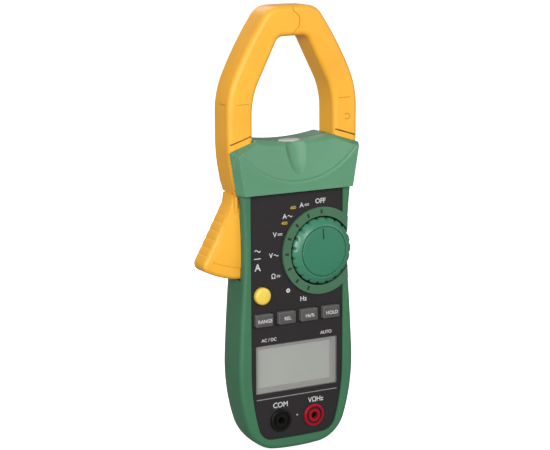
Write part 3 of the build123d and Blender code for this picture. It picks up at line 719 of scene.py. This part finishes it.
def add_ring(parts, x, z, radius, width, face, steps=28):
    outline = circle(x, z, radius, steps)
    add_stroke(parts, outline + outline[:1], width, face)


def add_dot(parts, x, z, size, face):
    """Ring as wide as its own radius."""
    add_ring(parts, x, z, size, size, face)


def dial_place(step, radius):
    """Place round the dial: step 0 is at the top, and the others follow anticlockwise."""
    angle = radians(90 + DIAL_STEP * step)
    return DIAL.x + radius * cos(angle), DIAL.z + radius * sin(angle)


def add_dial_legends(white, yellow):
    """Adds the legend of each selector position: letters, a sign, and the yellow print by two of them."""
    tall, small = 2.6 * MM, 1.7 * MM
    wide, diode, dot = 2.8 * MM, 1.5 * MM, 0.8 * MM
    # radius, letters and their shift, sign, its shift and its size
    legends = ((27.4, "OFF", 0.0, None, 0.0, 0.0),
               (28.2, "A", -1.0, add_direct, 2.2, wide),
               (29.4, "A", -1.6, add_wave, 1.6, wide),
               (29.4, "V", -1.4, add_direct, 1.8, wide),
               (29.6, "V", -1.4, add_wave, 1.8, wide),
               (30.4, "Ω", -1.4, add_diode, 1.7, diode),
               (28.8, "", 0.0, add_dot, 0.0, dot),
               (28.2, "Hz", 0.0, None, 0.0, 0.0))
    yellow_shifts = {1: (-6.4, -0.9), 2: (-1.8, -3.7)}
    for step, (radius, letters, letter_shift, add_sign, sign_shift, size) in enumerate(legends):
        x, z = dial_place(step, radius * MM)
        if letters:
            add_text(white, letters, x + letter_shift * MM, z, tall, 0)
        if add_sign:
            add_sign(white, x + sign_shift * MM, z, size, 0)
        if step in yellow_shifts:
            across, up = yellow_shifts[step]
            add_text(yellow, "400", x + across * MM, z + up * MM, small, 0)


def add_other_legends(white):
    """Adds the print over the display, by the jacks and at the left of the dial."""
    com, volt = JACKS["com_jack"], JACKS["volt_jack"]
    title = WINDOW_HIGH.z + 3.0 * MM
    jack_title = 8.7 * MM
    left, bar, half_bar = -24.4 * MM, 32.4 * MM, 2.0 * MM
    add_text(white, "AC / DC", -17.5 * MM, title, 1.8 * MM, 0)
    add_text(white, "AUTO", 18.5 * MM, title, 1.8 * MM, 0)
    add_text(white, "COM", com.x, com.z + jack_title, 2.9 * MM, 0)
    add_text(white, "VΩHz", volt.x + 1.4 * MM, volt.z + jack_title, 2.7 * MM, 0)
    add_text(white, "+", 0, com.z + 1.4 * MM, 1.6 * MM, 0)
    add_text(white, "A", left + 0.1 * MM, bar - 5.0 * MM, 3.8 * MM, 0)
    add_stroke(white, [(left - half_bar, bar), (left + half_bar, bar)], 0.5 * MM, 0)
    add_wave(white, left + 0.1 * MM, bar + 4.2 * MM, 3.6 * MM, 0)


def panel_print():
    """White and yellow legends on the panel, and a flat light grey line under the display: painted highlight
    standing in for a moulded ridge.
    """
    white, yellow, ridge_highlight = bmesh.new(), bmesh.new(), bmesh.new()
    add_dial_legends(white, yellow)
    add_other_legends(white)
    half_length, level = 25.4 * MM, WINDOW_LOW.z - 3.2 * MM
    # flat light grey stroke: painted highlight of the moulded ridge
    add_stroke(ridge_highlight, [(-half_length, level), (half_length, level)], 0.5 * MM, 0)
    piece("panel_print_white", white, "root", WHITE_INK)
    piece("panel_ridge_painted_highlight", ridge_highlight, "root", RIDGE_PAINTED_HIGHLIGHT)
    piece("panel_print_yellow", yellow, "root", YELLOW_INK)


# ---------------------------------------------------------------- stage

def camera():
    """Camera on the meter's left and a little above, looking at its middle."""
    turn, rise, roll = radians(-29.24), radians(11.11), radians(-0.26)
    distance, focal_length = 0.97774, 118.9
    target = Vector((-0.01349, 0.0, 0.05))
    back = Vector((sin(turn) * cos(rise), -cos(turn) * cos(rise), sin(rise)))
    level = Vector((0, 0, 1)).cross(back).normalized()
    upright = back.cross(level)
    right = level * cos(roll) + upright * sin(roll)
    up = upright * cos(roll) - level * sin(roll)
    view = Matrix((right, up, back)).transposed().to_4x4()
    view.translation = target + back * distance
    lens = bpy.data.cameras.new("camera")
    lens.sensor_width = 36.0
    lens.lens = focal_length
    lens.clip_end = 100.0
    obj = bpy.data.objects.new("camera", lens)
    obj.matrix_world = view
    bpy.context.scene.collection.objects.link(obj)
    bpy.context.scene.camera = obj


def softbox(name, place, aim, size, watts):
    """Rectangular lamp at a place, turned to face the aim."""
    light = bpy.data.lights.new(name, "AREA")
    light.shape = "RECTANGLE"
    light.size, light.size_y = size
    light.energy = watts
    obj = bpy.data.objects.new(name, light)
    obj.location = place
    obj.rotation_euler = (Vector(aim) - Vector(place)).to_track_quat("-Z", "Y").to_euler()
    bpy.context.scene.collection.objects.link(obj)


def studio():
    """Four softboxes, and a world that is white to the camera but lights the part only a little."""
    world_light, seen_white = 0.27, 1.0
    world = bpy.data.worlds.new("studio")
    world.use_nodes = True
    sky = world.node_tree.nodes["Background"]
    sky.inputs["Color"].default_value = (1.0, 1.0, 1.0, 1.0)
    seen = world.node_tree.nodes.new("ShaderNodeLightPath").outputs["Is Camera Ray"]
    strength = spread(world.node_tree, seen, 0, 1, world_light, seen_white)
    world.node_tree.links.new(strength, sky.inputs["Strength"])
    bpy.context.scene.world = world
    bpy.context.scene.view_settings.view_transform = "Standard"
    aim = (0.0, 0.0, 0.05)
    # name, place, size in metres, watts
    lamps = (("key_softbox", (-0.2, -1.1, 0.55), (0.45, 0.45), 7.5),
             ("left_softbox", (-0.98, -0.85, 0.35), (0.5, 0.7), 11.5),
             ("fill_softbox", (1.0, -0.9, 0.4), (0.6, 0.8), 3.5),
             ("back_softbox", (0.1, 1.0, 1.1), (0.9, 0.9), 8))
    for name, place, size, watts in lamps:
        softbox(name, place, aim, size, watts)


def floor():
    """White ground just under the meter. It glows by itself and lights nothing else."""
    half_size, clearance, glow = 30.0, 0.2 * MM, 0.82
    mesh = bmesh.new()
    bmesh.ops.create_grid(mesh, x_segments=1, y_segments=1, size=half_size)
    data = bpy.data.meshes.new("floor")
    mesh.to_mesh(data)
    mesh.free()
    obj = bpy.data.objects.new("floor", data)
    obj.location.z = CAD_BOX[0][2] - clearance
    bpy.context.scene.collection.objects.link(obj)
    material, tree, surface, place = shader("floor", 0.8)
    pale = blend_colours(tree, noise(tree, place, 0.002), (0.93, 0.93, 0.93), (0.96, 0.96, 0.96))
    tree.links.new(pale, surface.inputs["Base Color"])
    surface.inputs["Emission Color"].default_value = (1, 1, 1, 1)
    surface.inputs["Emission Strength"].default_value = glow
    data.materials.append(material)
    obj.visible_diffuse = False
    obj.visible_glossy = False


paint_frame()
head()
trigger()
jaw_marks()
knob_skirt()
knob_top()
dial_surround()
keys()
button()
display_frame()
jack_wells()
panel_print()
camera()
studio()
floor()
